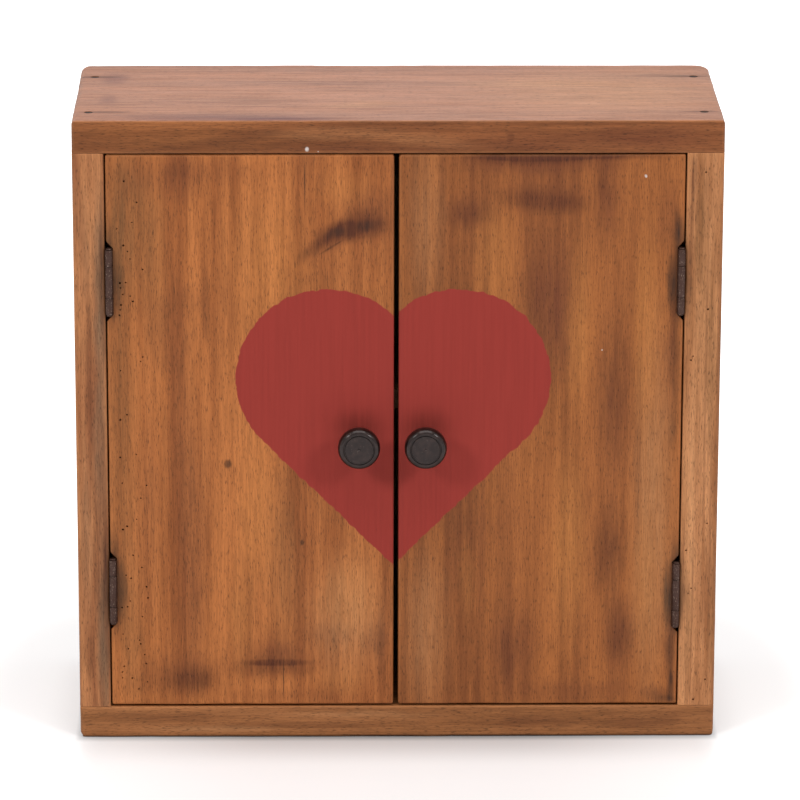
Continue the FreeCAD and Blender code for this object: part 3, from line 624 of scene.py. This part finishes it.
def teak(add, place, dark, light, grain, band, stains, sign=None, knob=None, seed=0.0, level=FRONT, more=None):
    """Old teak, sanded by hand and waxed.

    It gives long soft bands and fine streaks along the grain, short dark pores, paler rubbed edges, blots from water
    and iron, grease round a knob, and a low satin gloss that grows at a glancing angle.
    """
    along_grain = partial(streaky, add, place, grain, seed=seed)
    bands = along_grain(band, 16 * band, distortion=0.3)  # growth rings as a flat-sawn face shows them
    streaks = along_grain(band / 5, 6 * band, detail=3.0, distortion=0.15)
    fibres = along_grain(0.6, 12.0)  # real fibres are a tenth of this, too fine to show
    pores = along_grain(0.45, 3.0)  # real pores are about 0.3 mm wide, drawn wider so that they show
    cloudy = spots(add, place, (38.0, 38.0, 52.0), detail=3.0, seed=seed + 3)
    figure = add("Math", [bands, 0.62, add("Math", [streaks, 0.38], **TIMES)], **TIMES_PLUS)
    tone = tinted(add, dark, figure, 0.34, 0.66, 1.0, light)
    tone = tinted(add, tone, cloudy, 0.52, 0.8, 0.3, WARM)
    tone = stained(add, place, tone, stains, grain, Y, level)
    if more:
        tone = stained(add, place, tone, more, grain, Z, TOP)
    pitted = add("MapRange", [pores, 0.53, 0.74, 0.0, 0.62], **SMOOTH)
    open_grain = add("Math", [pitted, -0.85, 1.0], **TIMES_PLUS)
    fibrous = add("MapRange", [fibres, 0.3, 0.7, 0.86, 1.14], **SMOOTH)
    shade = add("Math", [fibrous, open_grain], **TIMES)
    tone = add("VectorMath", {0: tone, "Scale": shade}, **SCALED)
    edge = add("Attribute", output="Fac", attribute_name="worn")
    rubbed = add("Math", [add("MapRange", [edge, 0.25, 1.0, 0.0, 0.22], **SMOOTH),
                          add("MapRange", [cloudy, 0.3, 0.6, 0.3, 1.0], **SMOOTH)], **TIMES)
    tone = add("Mix", {0: rubbed, 6: tone, 7: opaque("#BC8052")}, **COLOUR)
    gloss = add("MapRange", [streaks, 0.3, 0.7, 0.5, 0.42], **SMOOTH)
    relief = add("Math", [pitted, -0.9, fibres], **TIMES_PLUS)
    if sign is not None:
        covered = heart(add, place, sign)
        brushed = spots(add, place, (1.3, 1.3, 42.0), detail=3.0, seed=11.0)  # marks of a bristle brush
        paint = mottled(add, sign.paint, brushed, 0.96, 1.04)
        paint = tinted(add, paint, pores, 0.68, 0.8, 0.35, "#6E2A24")  # open pores starve the paint
        tone = add("Mix", {0: covered, 6: tone, 7: paint}, **COLOUR)
        tone = stained(add, place, tone, {HANDLED: [(*knob, 17, 14, 0.5)]}, grain, Y, level)
        gloss = add("Mix", [covered, (0, 0, 0), gloss, 0.72])
        filled = add("MapRange", [covered, 0.0, 1.0, 0.0, 0.7], **SMOOTH)
        relief = add("Mix", [filled, (0, 0, 0), relief, brushed])
    bump = add("Bump", {"Strength": 0.4, "Distance": 0.15 * MM, "Height": relief})
    return {"Base Color": tone, "Roughness": gloss, "IOR": 1.5, "Specular IOR Level": 0.2, "Normal": bump}


def heart(add, place, sign):
    """How fully paint covers a place: a heart of a square on its corner and two half discs, with a brushed edge."""
    size = sign.width / MM / (0.5 + math.sqrt(0.5))
    brushed = wavering(add, place, 5, 4.0, (2.4, 0, 3.6))
    from_tip = add("VectorMath", [brushed, (sign.middle / MM, 0, sign.tip / MM)], **LESS)
    local = add("VectorMath", [from_tip, (1 / size, 1, 1 / size)], **TIMES)
    x, y, v = (add("SeparateXYZ", [local], output=axis) for axis in "XYZ")
    u = add("Math", [x], **UNSIGNED)
    rise = add("Math", [add("Math", [v, 0.5], **LESS)], **UNSIGNED)
    square = add("Math", [add("Math", [u, rise]), math.sqrt(0.5), -0.5 * math.sqrt(0.5)], **TIMES_PLUS)
    from_middle = add("CombineXYZ", [add("Math", [u, 0.25], **LESS), add("Math", [v, 0.75], **LESS)])
    disc = add("Math", [add("VectorMath", [from_middle], **LENGTH), math.sqrt(0.125)], **LESS)
    outside = add("Math", [add("Math", [square, disc], operation="MINIMUM"), size], **TIMES)
    inside = add("MapRange", [outside, 0.35, -0.35], **SMOOTH)
    on_front = add("MapRange", [y, DOOR_FRONT + 4, DOOR_FRONT + 2], **SMOOTH)
    return add("Math", [inside, on_front], **TIMES)


def oiled_wood(add, place, dark, light, grain, seed):
    """Planed teak, oiled and hidden from wear: a plain streaky brown with little gloss."""
    bands = streaky(add, place, grain, 9.0, 240.0, 3.0, 0.4, seed)
    streaks = streaky(add, place, grain, 1.2, 34.0, 3.0, seed=seed)
    figure = add("Math", [bands, 0.5, add("Math", [streaks, 0.5], **TIMES)], **TIMES_PLUS)
    tone = tinted(add, dark, figure, 0.33, 0.67, 1.0, light)
    bump = add("Bump", {"Strength": 0.3, "Distance": 0.1 * MM, "Height": streaks})
    return {"Base Color": tone, "Roughness": 0.6, "IOR": 1.5, "Normal": bump}


def bronzed_brass(add, place, tone):
    """Brass turned on a lathe, bronzed dark and lacquered: faint rubbed patches and soft highlights."""
    patches = spots(add, place, (3.5, 3.5, 3.5), 4.0)
    specks = spots(add, place, (0.8, 0.8, 0.8), 1.0)  # real specks are finer, drawn coarser so that they show
    rubbed = tinted(add, tone, patches, 0.4, 0.7, 0.5, "#382925")
    shade = tinted(add, rubbed, specks, 0.68, 0.76, 0.45, "#75655C")
    gloss = add("MapRange", [patches, 0.3, 0.7, 0.32, 0.42], **SMOOTH)
    bump = add("Bump", {"Strength": 0.15, "Distance": 0.05 * MM, "Height": patches})
    return {"Base Color": shade, "Metallic": 0.6, "Roughness": gloss, "Specular IOR Level": 0.1, "Coat Weight": 0.36,
            "Coat Roughness": 0.1, "Normal": bump}


def blackened_iron(add, place, tone, rust):
    """Rolled iron blackened in oil, since worn: dull, mottled with thin rust, a little brighter where it is rubbed."""
    mottle = spots(add, place, (2.2, 2.2, 4.0), 4.0)
    grit = spots(add, place, (0.6, 0.6, 0.9), 2.0)  # real pitting is finer, drawn coarser so that it shows
    rusty = tinted(add, tone, mottle, 0.45, 0.7, 0.7, rust)
    shade = tinted(add, rusty, grit, 0.58, 0.7, 0.6, "#8E7A6C")
    gloss = add("MapRange", [mottle, 0.3, 0.7, 0.3, 0.5], **SMOOTH)
    bump = add("Bump", {"Strength": 0.35, "Distance": 0.08 * MM, "Height": grit})
    return {"Base Color": shade, "Metallic": 0.7, "Roughness": gloss, "Normal": bump}


def bright_metal(add, place, tone, size, roughness):
    """Zinc plate or rolled steel: a pale grey with drawn streaks or a fine frost, and a broad soft shine."""
    frost = spots(add, place, size, 3.0)  # the real frost is finer, drawn coarser so that it shows
    shade = mottled(add, tone, frost, 0.82, 1.05)
    gloss = add("MapRange", [frost, 0.3, 0.7, roughness + 0.08, roughness - 0.05], **SMOOTH)
    return {"Base Color": shade, "Metallic": 1.0, "Roughness": gloss}


def matt_grain(add, place, tone, size, roughness, depth):
    """A matt body with a fine grain: pressed ferrite, moulded ABS or rubbed-down filler."""
    grain = spots(add, place, (size, size, size), 3.0)  # real grains are finer, drawn coarser so that they show
    shade = mottled(add, tone, grain, 0.8, 1.15)
    bump = add("Bump", {"Strength": 0.4, "Distance": depth * MM, "Height": grain})
    return {"Base Color": shade, "Roughness": roughness, "IOR": 1.5, "Normal": bump}


def seen_directly(add):
    """1 for rays from the camera and for mirrored or refracted rays, 0 for light that falls on things."""
    rays = [add("LightPath", output=kind) for kind in ("Is Camera Ray", "Is Glossy Ray", "Is Transmission Ray")]
    return add("Math", [add("Math", rays[:2], **LARGER), rays[2]], **LARGER)


def seamless_paper(add, place, tone, lift):
    """White paper rolled out under the object: even and matt, with a soft shade that fades to white away from it.

    Real paper fibres are far finer than these, drawn coarser so that they show.
    """
    thins = 18  # the shade beside the object thins out towards its back
    half = (CAD_BOX[1][X] / MM, -FRONT - thins, 0.0)
    centred = add("VectorMath", [add("VectorMath", [place, (0, thins, 0)])], **UNSIGNED)
    beyond = add("VectorMath", [add("VectorMath", [centred, half], **LESS), (0, 0, 0)], **LARGER)
    stretched = add("VectorMath", [beyond, (2.2, 1, 1)], **TIMES)  # light comes in from both sides
    away = add("VectorMath", [stretched], **LENGTH)
    fibres = add("MapRange", [spots(add, place, (1.5, 1.5, 1.5), 2.0), 0.3, 0.7, 0.99, 1.0], **SMOOTH)
    contact = add("MapRange", [away, 0.0, 8.0, 0.55, 1.0], **SMOOTH)
    level = add("Math", [fibres, contact], **TIMES)
    shade = add("VectorMath", {0: tone, "Scale": level}, **SCALED)
    near = add("MapRange", [away, 0.0, 50.0, 1.0, 0.35], **SMOOTH)
    far = add("MapRange", [away, 90.0, 260.0, 0.0, 0.6], **SMOOTH)
    sideways = add("SeparateXYZ", [centred])
    ends = add("Math", [add("MapRange", [sideways, half[X] - 115, half[X] + 5, 1.0, 0.5], **SMOOTH),
                        add("MapRange", [sideways, half[X] - 12, half[X] + 5, 0.0, 0.25], **SMOOTH)], **LESS)
    shaded = add("Math", [near, ends], **TIMES)
    lifted = add("Math", [shaded, -lift, lift], **TIMES_PLUS)
    glow = add("Math", [seen_directly(add), add("Math", [lifted, far])], **TIMES)
    return {"Base Color": shade, "Roughness": 0.4, "Specular IOR Level": 0.4, "Emission Color": (1, 1, 1, 1),
            "Emission Strength": glow}


def paint_nodes(material, nodes):
    """Give CAD nodes whose shape is right a material."""
    for node in nodes:
        NODES[node].data.materials.clear()
        NODES[node].data.materials.append(material)


# Pieces, with sizes in millimetres

REBATE_CLEARANCE = 0.2
PLUG_CLEARANCE, PLUG_SPACING = 0.05, 20  # nail plugs are small and lie further apart than this
MORTISE_CLEARANCE, MORTISE_SLOPE = 0.5, 5.0
WORM_RADII, WORM_DEPTHS = (0.4, 0.65), (1.5, 3.0)
WORM_HEIGHTS = (25, 165), (25, 165), (170, 325)  # twice as many holes low down
WORM_INSET, WORM_SPREAD, WORM_SPACING = 5.5, 15, 2  # from the door's hinged edge, and from one another
SIDE_BAND, DOOR_BAND = 12.0, 26.0  # width of the wood's growth bands
SIDE_RUB, DOOR_RUB = 2.6, 2.4  # width of the paler rubbed edges
KNOB_HEIGHT = 21.0
GREASE_DROP = 6  # from a knob's top to the middle of the grease round it
PAPER_REACH = 6000
OVERCUT = 1  # how far a cutter stands out of what it cuts


def tones_of(wood, part):
    """Dark and light tone of a part."""
    return [getattr(wood, f"{part}_{shade}") for shade in SHADES]


def rebate():
    """The cut round the back that the back panel lies in, a little larger than the panel."""
    low, high = corners_of("back_panel")
    low -= Vector((REBATE_CLEARANCE, 0, REBATE_CLEARANCE))
    high += Vector((REBATE_CLEARANCE, OVERCUT, REBATE_CLEARANCE))
    shape = bmesh.new()
    prism(shape, [(low.x, low.y, low.z), (high.x, low.y, low.z), (high.x, low.y, high.z), (low.x, low.y, high.z)],
          (0, high.y - low.y, 0))
    return shape


def plug_spots():
    """Middle, radius and depth of each nail plug, read from the groups of points in its CAD node."""
    groups = []
    for vertex in NODES["nail_plugs"].data.vertices:
        point = vertex.co / MM
        near = [group for group in groups if (group[0] - point).length < PLUG_SPACING]
        if near:
            near[0].append(point)
        else:
            groups.append([point])
    plugs = []
    for group in groups:
        low, high = (Vector([side(point[n] for point in group) for n in AXES]) for side in (min, max))
        plugs.append(((low + high) / 2, (high.x - low.x) / 2, high.z - low.z))
    return sorted(plugs, key=lambda plug: tuple(plug[0]))


def worm_holes(shape, places, front, rng):
    """Add cutters for old worm holes, about a millimetre across, at (x, z) places on a front."""
    for x, z in places:
        ring = ring_of((x, front - OVERCUT, z), rng.uniform(*WORM_RADII), 7, Y, rng.random())
        prism(shape, ring, (0, OVERCUT + rng.uniform(*WORM_DEPTHS), 0))


class CABINET_OT_boards(bpy.types.Operator):
    """Top, bottom and sides of the box, with worn edges, nail holes and a rebate for the back"""
    bl_idname = "cabinet.boards"
    bl_label = "Boards"

    def execute(self, context):
        wood = context.scene.cabinet_wood
        rng = random.Random(5)
        plugs = plug_spots()
        flat = {"left front": 2.4, "right front": 1.6, "left back": 1.5, "right back": 1.5}
        upper = {**flat, "left top": 3.2, "right top": 2.4, "front top": 1.0, "back top": 2.2}
        lower = {**flat, "left bottom": 5.0, "right bottom": 5.5, "front bottom": 1.6, "back bottom": 2.0}
        left = {"left front": 1.6, "right front": 1.1}
        right = {"right front": 1.6, "left front": 1.0}
        back_left, back_right = {"left back": 7.0}, {"right back": 9.0}
        looks = {  # rounded edges and corners, grain, stains and seed
            "top_board": (upper, back_left | back_right, X, TOP_FRONT_STAINS, 2.0),
            "bottom_board": (lower, back_left | back_right, X, BOTTOM_FRONT_STAINS, 9.0),
            "left_side": (left, back_left, Z, {**LEFT_SIDE_STAINS, GRIME: hinge_grime("left")}, 17.0),
            "right_side": (right, back_right, Z, {**RIGHT_SIDE_STAINS, GRIME: hinge_grime("right")}, 26.0),
        }
        for node, (eases, corners, grain, stains, seed) in looks.items():
            cutters = rebate()
            if grain == X:
                low, high = corners_of(node)
                for middle, radius, depth in plugs:
                    if low.z < middle.z < high.z:
                        below = OVERCUT if node == "bottom_board" else 0
                        start = (middle.x, middle.y, middle.z - depth / 2 - below)
                        prism(cutters, ring_of(start, radius + PLUG_CLEARANCE, 24, Z), (0, 0, depth + OVERCUT))
            if node == "right_side":
                worm_holes(cutters, RIGHT_SIDE_HOLES, FRONT, rng)
            shape = cut(board(node, eases, corners, wood.wear), cutters)
            material = made(f"waxed_teak_{node}", teak, *tones_of(wood, node), grain, SIDE_BAND, stains, seed=seed,
                            more=TOP_STAINS if node == "top_board" else None)
            mark_worn_edges(show(node + "_plank", shape, material, node), node, SIDE_RUB)
        return {"FINISHED"}


class CABINET_OT_doors(bpy.types.Operator):
    """The two plank doors with hinge mortises, worn edges, worm holes and a heart painted across both"""
    bl_idname = "cabinet.doors"
    bl_label = "Doors"

    def execute(self, context):
        wood, sign = context.scene.cabinet_wood, context.scene.cabinet_sign
        rng = random.Random(7)
        for hand, stains, seed in (("left", LEFT_DOOR_STAINS, 33.0), ("right", RIGHT_DOOR_STAINS, 48.0)):
            node = hand + "_door"
            low = corners_of(node)[0]
            meeting = "right" if hand == "left" else "left"
            eases = {meeting + " front": 1.3, hand + " front": 1.0, "front top": 1.3, "front bottom": 1.4,
                     meeting + " bottom": 2.6, meeting + " top": 1.6}
            cutters = bmesh.new()
            for level in LEVELS:
                leaf_low, leaf_high = corners_of(f"{hand}_{level}_hinge_door_leaf")
                edge, deep = (leaf_low.x, leaf_high.x) if hand == "left" else (leaf_high.x, leaf_low.x)
                start = leaf_low.y - OVERCUT
                short, long = MORTISE_CLEARANCE, MORTISE_CLEARANCE + MORTISE_SLOPE
                prism(cutters, [(edge, start, leaf_low.z - long), (deep, start, leaf_low.z - short),
                                (deep, start, leaf_high.z + short), (edge, start, leaf_high.z + long)],
                      (0, leaf_high.y + MORTISE_CLEARANCE - start, 0))
            if hand == "left":
                places = []
                while len(places) < wood.holes:  # most of them near the hinges
                    z = rng.choice([rng.uniform(*span) for span in WORM_HEIGHTS])
                    spot = (low.x + WORM_INSET + WORM_SPREAD * rng.random() ** 1.3, z)
                    if all(math.dist(spot, other) > WORM_SPACING for other in places):
                        places.append(spot)
                worm_holes(cutters, places, low.y, rng)
            shape = cut(board(node, eases, {}, wood.wear, plain=1.2), cutters)
            grip_low, grip_high = corners_of(hand + "_knob")
            knob = ((grip_low.x + grip_high.x) / 2, grip_high.z - GREASE_DROP)
            marks = {**stains, GRIME: stains[GRIME] + hinge_grime(hand)}
            material = made(f"waxed_teak_{node}", teak, *tones_of(wood, node), Z, DOOR_BAND, marks, sign, knob, seed,
                            low.y)
            mark_worn_edges(show(node + "_plank", shape, material, node), node, DOOR_RUB)
        return {"FINISHED"}


class CABINET_OT_knobs(bpy.types.Operator):
    """The two turned knobs: waisted neck, round rim, grooved face with a dimple"""
    bl_idname = "cabinet.knobs"
    bl_label = "Knobs"

    def execute(self, context):
        material = made("bronzed_brass_turned", bronzed_brass, context.scene.cabinet_metal.knob)
        profile = [(0, 0), (6.1, 0), (6.5, 0.4), (6.5, 1.3), (6.4, 1.6)]
        profile += arc((6.4, 1.6), (4.6, 6.5), (8.2, 11.5), 14)
        profile += arc((8.2, 11.5), (10.4, 13.3), (11.5, 17.0), 12)
        shoulder = [math.radians(5.0 * step) for step in range(1, 19)]
        profile += [(8.9 + 2.6 * math.cos(turn), 17.0 + 4.0 * math.sin(turn)) for turn in shoulder]
        profile += [(8.5, 21.0), (8.25, 20.45), (7.85, 20.45), (7.6, 20.97), (4.0, 20.95), (0.75, 20.94), (0.7, 20.85),
                    (0.3, 20.65), (0, 20.6)]
        for hand in HANDS:
            low, high = corners_of(hand + "_knob")
            middle = (low + high) / 2
            scale = (high.y - low.y) / KNOB_HEIGHT

            def stand(x, z, height):
                return middle.x + x * scale, high.y - height * scale, middle.z + z * scale

            shape = bmesh.new()
            lathe(shape, profile, stand, 96)
            show(hand + "_turned_knob", shape, material, hand + "_knob", crease=60)
        return {"FINISHED"}


class CABINET_OT_hinges(bpy.types.Operator):
    """The four iron butt hinges: leaves and pins with softened edges"""
    bl_idname = "cabinet.hinges"
    bl_label = "Hinges"

    def execute(self, context):
        metal = context.scene.cabinet_metal
        material = made("blackened_iron_rolled", blackened_iron, metal.iron, metal.rust)
        for hand in HANDS:
            for level in LEVELS:
                for part, bevel in (("frame_leaf", 0.4), ("door_leaf", 0.4), ("pin", 0.22)):
                    softened(f"{hand}_{level}_hinge_{part}", material, bevel)
        return {"FINISHED"}


class CABINET_OT_inside(bpy.types.Operator):
    """The shelf, its cleats, the hanging rail and the back panel"""
    bl_idname = "cabinet.inside"
    bl_label = "Inside and back"

    def execute(self, context):
        wood = context.scene.cabinet_wood
        lengthwise = made("oiled_teak_planed_lengthwise", oiled_wood, *tones_of(wood, "inside"), X, 60.0)
        crosswise = made("oiled_teak_planed_crosswise", oiled_wood, *tones_of(wood, "inside"), Y, 71.0)
        softened("shelf", lengthwise, 0.8)
        softened("hanging_rail", lengthwise, 0.6)
        for hand in HANDS:
            softened(hand + "_shelf_cleat", crosswise, 0.8)
        ply = made("birch_plywood_sanded", oiled_wood, *tones_of(wood, "back_panel"), Z, 83.0)
        paint_nodes(ply, ["back_panel"])
        return {"FINISHED"}


class CABINET_OT_catches(bpy.types.Operator):
    """The magnetic catches under the top board and the strike plates on the doors"""
    bl_idname = "cabinet.catches"
    bl_label = "Catches"

    def execute(self, context):
        metal = context.scene.cabinet_metal
        housing = made("brown_abs_moulded", matt_grain, metal.housing, 0.5, 0.45, 0.03)
        ferrite = made("ferrite_fired", matt_grain, metal.ferrite, 0.7, 0.7, 0.04)
        plate = made("steel_plate_rolled", bright_metal, metal.steel, (18.0, 0.5, 0.5), 0.34)
        for hand in HANDS:
            softened(hand + "_catch_housing", housing, 0.5)
            softened(hand + "_strike_plate", plate, 0.3)
            softened(hand + "_catch_poles", plate, 0.15)
            paint_nodes(ferrite, [hand + "_catch_magnet"])
        return {"FINISHED"}


class CABINET_OT_fasteners(bpy.types.Operator):
    """Screws, nails, pins and washers"""
    bl_idname = "cabinet.fasteners"
    bl_label = "Fasteners"

    def execute(self, context):
        zinc = made("steel_zinc_plated", bright_metal, context.scene.cabinet_metal.zinc, (0.8, 0.8, 0.8), 0.38)
        paint_nodes(zinc, [node for node, slot in SLOT.items() if slot == "fastener_steel"])
        return {"FINISHED"}


class CABINET_OT_plugs(bpy.types.Operator):
    """Dark filler over the nails, shrunk a little into its holes"""
    bl_idname = "cabinet.plugs"
    bl_label = "Nail plugs"

    def execute(self, context):
        material = made("wood_filler_rubbed_flush", matt_grain, context.scene.cabinet_wood.filler, 0.9, 0.85, 0.2)
        shape = bmesh.new()
        for middle, radius, depth in plug_spots():
            way = 1 if middle.z > TOP / 2 else -1
            profile = [(0, 0), (radius, 0), (radius, depth - 0.35), (radius - 0.2, depth - 0.2),
                       (radius - 0.7, depth - 0.28), (radius / 3, depth - 0.4), (0, depth - 0.42)]

            def stand(x, y, height):
                dent = 0.12 * noise.noise(Vector((x, y, middle.x)) * 1.3) if height > depth / 2 else 0.0
                return middle.x + x, middle.y + y, middle.z + way * (height - depth / 2 + dent)

            lathe(shape, profile, stand, 24)
        show("nail_plug_fillings", shape, material, "nail_plugs", crease=60)
        return {"FINISHED"}


class CABINET_OT_stage(bpy.types.Operator):
    """White paper, soft studio light and a camera at the usual viewing angle"""
    bl_idname = "cabinet.stage"
    bl_label = "Stage"

    def execute(self, context):
        scene, stage = context.scene, context.scene.cabinet_stage
        scene.view_settings.view_transform = "Standard"
        sheet = bmesh.new()
        bmesh.ops.create_grid(sheet, x_segments=1, y_segments=1, size=PAPER_REACH)
        mesh = to_mesh("paper", sheet)
        mesh.materials.append(made("white_paper_seamless", seamless_paper, stage.paper, stage.lift))
        placed("paper", mesh)

        world = bpy.data.worlds.new("studio")
        world.use_nodes = True
        world.node_tree.nodes.clear()
        add = partial(add_node, world.node_tree)
        strength = add("MapRange", [seen_directly(add), 0.0, 1.0, stage.ambient, 1.0])
        add("OutputWorld", {"Surface": add("Background", {"Color": (1, 1, 1, 1), "Strength": strength})})
        scene.world = world

        aim = Vector((0, 0, 0.19))
        for name, place, size, power in (("left_softbox", (-1.5, -1.7, 1.5), 0.5, stage.side_power),
                                         ("right_softbox", (1.5, -1.7, 1.5), 0.5, stage.side_power),
                                         ("top_softbox", (0.0, -0.5, 2.2), 1.8, stage.top_power)):
            lamp = bpy.data.lights.new(name, "AREA")
            lamp.size = size
            lamp.energy = power
            light = placed(name, lamp)
            light.location = place
            light.rotation_euler = (aim - Vector(place)).to_track_quat("-Z", "Y").to_euler()

        camera = bpy.data.cameras.new("camera")
        camera.lens = stage.lens
        eye = placed("camera", camera)
        eye.matrix_world = (Matrix.Translation(stage.eye) @ Matrix.Rotation(-stage.yaw, 4, "Z")
                            @ Matrix.Rotation(math.pi / 2 - stage.pitch, 4, "X") @ Matrix.Rotation(stage.roll, 4, "Z"))
        scene.camera = eye
        return {"FINISHED"}


OPERATORS = (CABINET_OT_boards, CABINET_OT_doors, CABINET_OT_knobs, CABINET_OT_hinges, CABINET_OT_inside,
             CABINET_OT_catches, CABINET_OT_fasteners, CABINET_OT_plugs, CABINET_OT_stage)
GROUPS = {"cabinet_wood": CabinetWood, "cabinet_sign": CabinetSign, "cabinet_metal": CabinetMetal,
          "cabinet_stage": CabinetStage}


class CABINET_PT_panel(bpy.types.Panel):
    """The cabinet's values and the operators that build it"""
    bl_label = "Medicine cabinet"
    bl_idname = "CABINET_PT_panel"
    bl_space_type = "VIEW_3D"
    bl_region_type = "UI"
    bl_category = "Cabinet"

    def draw(self, context):
        for name, group in GROUPS.items():
            box = self.layout.box()
            for value in group.__annotations__:
                box.prop(getattr(context.scene, name), value)
        for operator in OPERATORS:
            self.layout.operator(operator.bl_idname)


def register():
    for group in GROUPS.values():
        bpy.utils.register_class(group)
    for name, group in GROUPS.items():
        setattr(bpy.types.Scene, name, PointerProperty(type=group))
    for operator in OPERATORS:
        bpy.utils.register_class(operator)
    bpy.utils.register_class(CABINET_PT_panel)


def unregister():
    bpy.utils.unregister_class(CABINET_PT_panel)
    for operator in reversed(OPERATORS):
        bpy.utils.unregister_class(operator)
    for name, group in GROUPS.items():
        delattr(bpy.types.Scene, name)
        bpy.utils.unregister_class(group)


def main():
    """Register the classes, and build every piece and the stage."""
    register()
    bpy.ops.cabinet.boards()
    bpy.ops.cabinet.doors()
    bpy.ops.cabinet.knobs()
    bpy.ops.cabinet.hinges()
    bpy.ops.cabinet.inside()
    bpy.ops.cabinet.catches()
    bpy.ops.cabinet.fasteners()
    bpy.ops.cabinet.plugs()
    bpy.ops.cabinet.stage()


if __name__ == "__main__":
    main()
